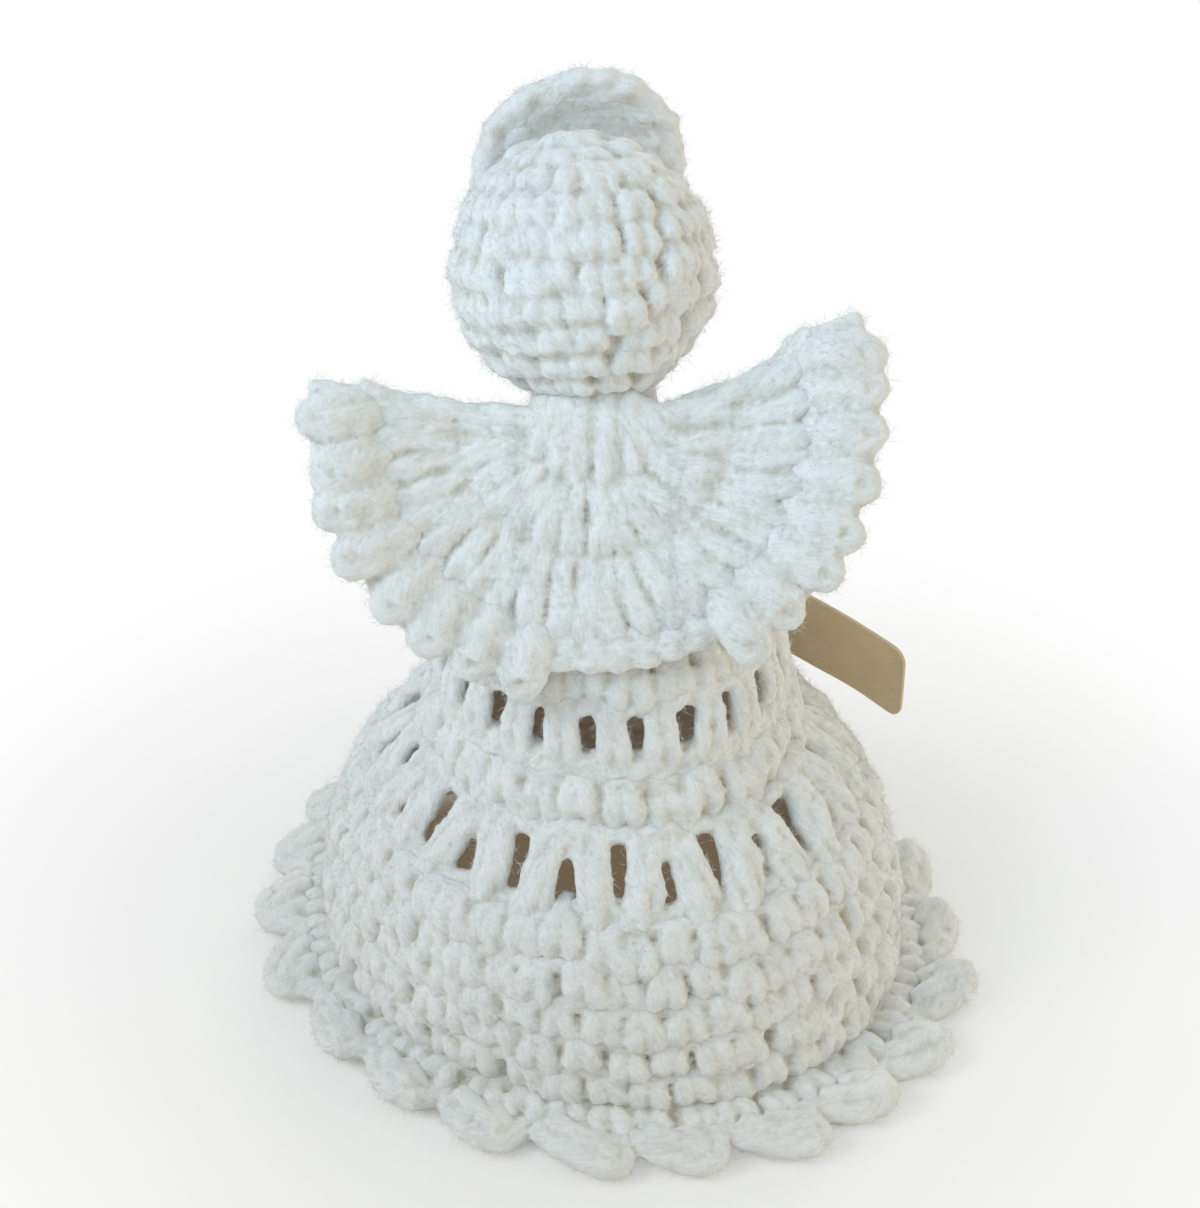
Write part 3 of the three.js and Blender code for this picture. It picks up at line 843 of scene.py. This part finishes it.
def fanRibs():
    run = np.linspace(0, 1, 8)
    for start, end, count in fan["rows"]:
        reach = np.maximum(start + (end - start) * run, 0.5)
        left, right = fanEdges(reach)
        width = np.radians(right - left) * reach / count
        # the last row stays full where it goes under the border
        swell = np.sin(run * math.pi * (0.9 if end > 25 else 1)) ** 0.6
        for face in (1, -1):
            for number in range(count):
                share = (number + 0.5 + 0.5 * (face < 0)) / count
                if share > 1:
                    continue
                angle = left + (right - left) * share
                sway = 0.14 * np.sin(run * 5.0 + number * 1.7) + rng.normal(0, 0.08)
                # each tall stitch shows as two strands that cross a little
                for side in (-1, 1):
                    cross = (side * (0.2 - 0.04 * run) + sway) * width
                    out = face * (-0.1 + 1.5 * swell) + 0.15 * side * np.cos(run * 3)
                    full = np.clip(fan["ribShare"] * width, fan["thinnest"], fan["rib"])
                    full = full * (0.74 + 0.4 * np.sin(run * math.pi) ** 0.6)
                    full = full * (1 + rng.normal(0, 0.08))
                    spots = fanPoint(angle + np.degrees(cross / reach), reach, out)
                    if start == 0:
                        # the innermost row hangs from the neck, not from a point
                        hang = math.radians(angle[0])
                        root = np.array(fan["apex"]) + fanUp * fan["rise"] * math.cos(hang)
                        root = root + (fan["gather"] * math.sin(hang) + 0.5 * side, 0, 0)
                        root = root + rng.normal(0, 0.3) * fanUp
                        spots = root + (spots[-1] - root) * run[:, None] + out[:, None] * fanOut
                        full = 0 * full + fan["inner"]
                    yield strand(spots, full)
    # what ties the stitches together, across between the two faces
    for reach in np.arange(8.0, fan["shellFoot"] + 1.5, 2.2):
        left, right = fanEdges(reach)
        turn = np.linspace(left + 2, right - 2, 40)
        yield strand(fanPoint(turn, reach + 0.3 * np.sin(turn * 0.9), 0 * turn), fan["tie"])
    # the turned ends of the rows, along both upper edges
    reach = np.linspace(fan["gather"], fan["shellFoot"] + 2.5, 24)
    for face in (0.7, -0.7):
        wave = np.sin(reach * 0.68 + face)
        for angle in fanEdges(reach):
            yield strand(fanPoint(angle, reach, face + 0.3 * wave), 1.45 + 0.25 * wave)


def fanBorder():
    left, right = fanEdges(fan["edge"])
    lobes = []
    for side, first, last in ((-1, fan["shellsLeft"], -left + 0.5), (1, fan["shellsRight"], right + 0.5)):
        pitch = (last - first) / fan["shells"]
        lobes += [(side * (first + (number + 0.5) * pitch), pitch) for number in range(fan["shells"])]
    for centre, pitch in lobes:
        # the shells at both wing tips are smaller
        grow = 1 - 0.14 * (centre < -85) - 0.05 * (centre > 85) + rng.normal(0, 0.05)
        lean = rng.normal(0, 0.11)
        for path, thick, out in fan["knob"]:
            side, run = np.array(path).T
            reach = fan["shellFoot"] + (fan["shellTip"] - fan["shellFoot"]) * run * grow
            full = fan["shellYarn"] * thick * (1 + rng.normal(0, 0.06))
            angle = centre + pitch * (side + lean * run)
            yield strand(fanPoint(angle, reach, out * np.sin(run * 2.6)), full)
    # the band that the shells are worked into
    for reach, out in fan["border"]:
        for near, far in ((left - 1, -fan["shellsLeft"]), (fan["shellsRight"], right + 1)):
            turn = np.linspace(near, far, 60)
            wave = turn * 0.7
            spots = fanPoint(turn, reach + 0.25 * np.sin(wave), out + 0.25 * np.cos(wave))
            yield strand(spots, fan["borderYarn"])
    # the plain ridge under the middle
    turn = np.linspace(-fan["shellsLeft"] - 1, fan["shellsRight"] + 1, 48)
    for reach, out, phase in fan["ridge"]:
        wave = turn * 0.95 + phase
        spots = fanPoint(turn, reach + 0.3 * np.sin(wave), out + 0.3 * np.cos(wave))
        yield strand(spots, fan["tie"])


def fanPieces(strands, panelNode, ending, softening):
    strands = list(strands)
    for side in ("panel", "left", "right"):
        mine = [part for one in strands for part in fanShare(one, side)]
        body, node = ("dress", panelNode) if side == "panel" else (side + "_wing", side + "_wing" + ending)
        knit(node, body, mine, voxel=fan["voxel"], softening=softening)


fanPieces(fanRibs(), "wing_panel", "", 6)
fanPieces(fanBorder(), "wing_panel_edging", "_edging", 11)
print("wings done")

# Card tag: a bent slip of card with round corners, a gap off the rounded skirt
tag = dict(length=36.7, height=11.4, thick=0.6, corner=2.0, azimuth=68, level=46.8, heading=-10,
           bend=26, droop=17.4, ease=0.4, gap=0.3, ripple=0.12, crease=40)


def tagCard():
    piece = startFrom("tagCard", bpy.ops.mesh.primitive_grid_add, x_subdivisions=48, y_subdivisions=10,
                      size=1.0)
    spots = meshArray(piece.data.vertices, "co", 3)
    turns = (math.radians(tag[key]) for key in ("azimuth", "heading", "bend", "droop"))
    azimuth, heading, bend, droop = turns
    seat = float(skirtRadius(np.array(tag["level"] - tag["height"] / 2)))
    seat = seat + tag["ease"] + tag["gap"] + tag["thick"] / 2
    share = 0.5 - 0.5 * np.cos((spots[:, 0] + 0.5) * math.pi)
    run = share * tag["length"]
    toEnd = np.minimum(np.minimum(run, tag["length"] - run), tag["corner"])
    cut = tag["corner"] - np.sqrt(tag["corner"] ** 2 - (tag["corner"] - toEnd) ** 2)
    up = spots[:, 1] * (tag["height"] - 2 * cut)
    turn = -bend * share
    radius = tag["length"] / bend
    flat = math.cos(droop)
    x = seat * math.cos(azimuth) + flat * radius * (math.sin(heading) - np.sin(heading + turn))
    y = seat * math.sin(azimuth) - flat * radius * (math.cos(heading) - np.cos(heading + turn))
    z = tag["level"] - run * math.sin(droop) + up
    ripple = tag["ripple"] * np.sin(run * 0.5) * np.sin(up * 0.4 + 1)
    spots = np.stack([x + np.sin(heading + turn) * ripple, y - np.cos(heading + turn) * ripple, z], -1)
    piece.data.vertices.foreach_set("co", (spots * mm).ravel())
    thicken = piece.modifiers.new("thickness", "SOLIDIFY")
    thicken.thickness = tag["thick"] * mm
    thicken.offset = 0
    bpy.ops.object.modifier_apply(modifier="thickness")
    bpy.ops.object.mode_set(mode="EDIT")
    bpy.ops.mesh.select_all(action="SELECT")
    bpy.ops.mesh.normals_make_consistent(inside=False)
    bpy.ops.object.mode_set(mode="OBJECT")
    cover(piece, creamCard)
    bpy.ops.object.shade_smooth_by_angle(angle=math.radians(tag["crease"]))
    return piece


tagPiece = tagCard()
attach(tagPiece, "tag")
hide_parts("tag_card")
print("tag done")


def aimedAt(target, spot):
    return (Vector(target) - Vector(spot)).to_track_quat("-Z", "Y").to_euler()


# Camera at the photograph's view
view = dict(reach=400, rise=40.29, aim=(-1.575, 0, 58.2), lens=79.85, sensor=36, near=0.01)
rise = math.radians(view["rise"])
cameraData = bpy.data.cameras.new("camera")
cameraData.sensor_fit = "HORIZONTAL"
cameraData.sensor_width = view["sensor"]
cameraData.lens = view["lens"]
cameraData.clip_start = view["near"]
camera = bpy.data.objects.new("camera", cameraData)
camera.location = Vector((0, -view["reach"] * math.cos(rise), view["reach"] * math.sin(rise))) * mm
camera.rotation_euler = aimedAt(Vector(view["aim"]) * mm, camera.location)
scene.collection.objects.link(camera)
scene.camera = camera

# Light, in metres: cool from the left, warm from the right, over a pale room
lightAim = (0, 0, 0.1)
lights = dict(cool=dict(spot=(-0.75, -0.35, 0.75), power=4.0, size=0.45, tint=(0.95, 0.98, 1.0)),
              window=dict(spot=(-0.17, -0.22, 0.30), power=1.6, size=0.06, tint=(0.36, 0.70, 1.0), cone=32),
              warm=dict(spot=(0.8, -0.25, 0.32), power=2.2, size=0.6, tint=(1.0, 0.89, 0.68)),
              back=dict(spot=(0.25, 0.85, 0.55), power=2.6, size=0.6, tint=(1.0, 0.97, 0.92)))
for name, light in lights.items():
    lamp = bpy.data.lights.new(name, "SPOT" if "cone" in light else "AREA")
    lamp.energy = light["power"]
    if "cone" in light:
        lamp.spot_size = math.radians(light["cone"])
        lamp.spot_blend = 1.0
        lamp.shadow_soft_size = light["size"]
    else:
        lamp.size = light["size"]
    lamp.color = light["tint"]
    holder = bpy.data.objects.new(name, lamp)
    holder.location = light["spot"]
    holder.rotation_euler = aimedAt(lightAim, holder.location)
    scene.collection.objects.link(holder)

room = dict(sky=(0.80, 0.93, 1.0, 1), side=(1.0, 0.97, 0.90, 1), low=(1.0, 0.90, 0.72, 1),
            strength=0.42, backdrop=(1.0, 1.0, 1.0, 1))


# The room lights the angel, and the camera sees a plain backdrop in its place
def lightRoom():
    world = bpy.data.worlds.new("room")
    scene.world = world
    world.use_nodes = True
    tree = world.node_tree
    glow = tree.nodes["Background"]
    start = Thread(tree)
    seen = start.node("ShaderNodeLightPath")
    upward = start.node("ShaderNodeSeparateXYZ", sockets={0: start.node("ShaderNodeTexCoord")}, out=2)
    tone = ramp(upward * 0.5 + 0.5, (0.35, room["low"]), (0.95, room["sky"]), (0.55, room["side"]))
    wire(glow, {"Color": tone})
    glow.inputs["Strength"].default_value = room["strength"]
    plain = start.node("ShaderNodeBackground", sockets={"Color": room["backdrop"], "Strength": 1.0})
    both = start.node("ShaderNodeMixShader", sockets={0: seen, 1: Thread(tree, glow.outputs[0]), 2: plain})
    wire(tree.nodes["World Output"], {"Surface": both})


lightRoom()

# Floor: a pale table top that keeps the shadow. Under the skirt it carries painted light: a dim brown glow,
# whatever the lamps, that shows through the openwork where the inside would be in shade
table = dict(size=6.0, level=-0.0002, grain=40.0, shade=(0.90, 0.88, 0.84, 1), pale=(0.93, 0.91, 0.87, 1),
             inside=(0.17, 0.125, 0.075, 1), paintedGlowTo=0.043, fadeFrom=0.05, fadeTo=0.12)


def tableTop():
    floor = startFrom("tableTop", bpy.ops.mesh.primitive_grid_add, x_subdivisions=4, y_subdivisions=4,
                      size=table["size"], location=(0, 0, table["level"]))
    material, start, shader = newMaterial("paleTable", {"Specular IOR Level": 0.1})
    tree = material.node_tree
    place = objectPlace(start)
    grain = noise(place, table["grain"], 3.0)
    wire(shader, {"Base Color": ramp(grain, (0.3, table["shade"]), (0.7, table["pale"])),
                  "Roughness": 0.8 + grain * 0.1})
    seen = start.node("ShaderNodeLightPath")
    away = start.node("ShaderNodeVectorMath", {"operation": "LENGTH"}, {0: place}, out=1)
    # painted glow: the emission is dim brown under the skirt and white outside it
    plain = ramp(away, (0.042, table["inside"]), (0.046, (1, 1, 1, 1)))
    plain = start.node("ShaderNodeEmission", sockets={"Color": plain, "Strength": 1.0})
    outside = span(away, table["fadeFrom"], table["fadeTo"])
    # under the skirt the painted brown glow is seen by every ray, not only the camera's, so it lights the
    # inside a little
    under = start.maths("LESS_THAN", away, table["paintedGlowTo"])
    share = seen * (outside * 0.6 + 0.4) * (1 - under) + under * 0.8
    lit = Thread(tree, shader.outputs[0])
    mixed = start.node("ShaderNodeMixShader", sockets={0: share, 1: lit, 2: plain})
    wire(tree.nodes["Material Output"], {"Surface": mixed})
    floor.data.materials.append(material)
    return floor


floor = tableTop()
print("stage ready")

scene.view_settings.view_transform = "Standard"

# Loose fibre ends standing off the yarn: thin bent needles, each closed
fuzz = dict(perArea=3.0, shortest=0.4, longest=1.3, thick=0.03, lift=(0.15, 0.8), stray=0.45, bend=0.45,
            scatter=0.15, facing=0.1, lowest=0.6, floor=0.06,
            sides=((0, 2, 1), (0, 3, 2), (0, 1, 3), (1, 2, 4), (2, 3, 4), (3, 1, 4)))


# Faces that look away from the object's inside, where fibre ends can be seen
def outerFaces(centres, normals, body):
    away = normals
    if body == "head":
        away = centres - headSpot
    elif body == "dress" and centres[:, 2].mean() < 80 and abs(centres[:, 1].mean()) < 3:
        away = centres * (1, 1, 0.4)
    facing = (away * normals).sum(1) / np.maximum(np.linalg.norm(away, axis=1), 1e-6)
    return np.flatnonzero((facing > fuzz["facing"]) & (centres[:, 2] > fuzz["lowest"]))


def fuzzOn(piece, body):
    mesh = piece.data
    centres = meshArray(mesh.polygons, "center", 3) / mm
    normals = meshArray(mesh.polygons, "normal", 3)
    areas = meshArray(mesh.polygons, "area", 1) / mm ** 2
    ready = outerFaces(centres, normals, body)
    amount = int(areas[ready].sum() * fuzz["perArea"])
    chosen = rng.choice(ready, amount)
    foot = centres[chosen] + rng.normal(0, fuzz["scatter"], (amount, 3))
    way = yarnWays[piece.name][chosen] * rng.choice((-1, 1), amount)[:, None]
    way = way + normals[chosen] * rng.uniform(*fuzz["lift"], amount)[:, None]
    way = way + rng.normal(0, fuzz["stray"], (amount, 3))
    way /= np.linalg.norm(way, axis=1)[:, None]
    curl = rng.normal(0, fuzz["bend"], (amount, 3))
    length = rng.uniform(fuzz["shortest"], fuzz["longest"], amount)[:, None]
    first = np.cross(way, rng.normal(0, 1, (amount, 3)))
    first /= np.linalg.norm(first, axis=1)[:, None]
    second = np.cross(way, first)
    middle = foot + length * (0.45 * way + 0.2 * curl)
    rings = [foot - 0.1 * length * way]
    for turn in (0, 2 * math.pi / 3, 4 * math.pi / 3):
        rings.append(middle + fuzz["thick"] * (first * math.cos(turn) + second * math.sin(turn)))
    rings.append(foot + length * (way + curl))
    points = np.stack(rings, 1).reshape(-1, 3)
    points[:, 2] = np.maximum(points[:, 2], fuzz["floor"])
    faces = (np.arange(amount)[:, None, None] * len(rings) + np.array(fuzz["sides"])).reshape(-1, 3)
    fluff = bpy.data.meshes.new(piece.name.replace("Yarn", "Fuzz"))
    fluff.vertices.add(len(points))
    fluff.vertices.foreach_set("co", (points * mm).ravel())
    fluff.loops.add(faces.size)
    fluff.loops.foreach_set("vertex_index", faces.ravel().astype(np.int32))
    fluff.polygons.add(len(faces))
    fluff.polygons.foreach_set("loop_start", np.arange(0, faces.size, 3, dtype=np.int32))
    fluff.update(calc_edges=True)
    fluff.materials.append(looseFibre)
    ends = bpy.data.objects.new(fluff.name, fluff)
    scene.collection.objects.link(ends)
    return ends, amount


fibreCount = 0
for piece, body in yarnPieces:
    ends, amount = fuzzOn(piece, body)
    fibreCount += amount
    carry(ends, body)
print("fuzz done,", fibreCount, "fibre ends")
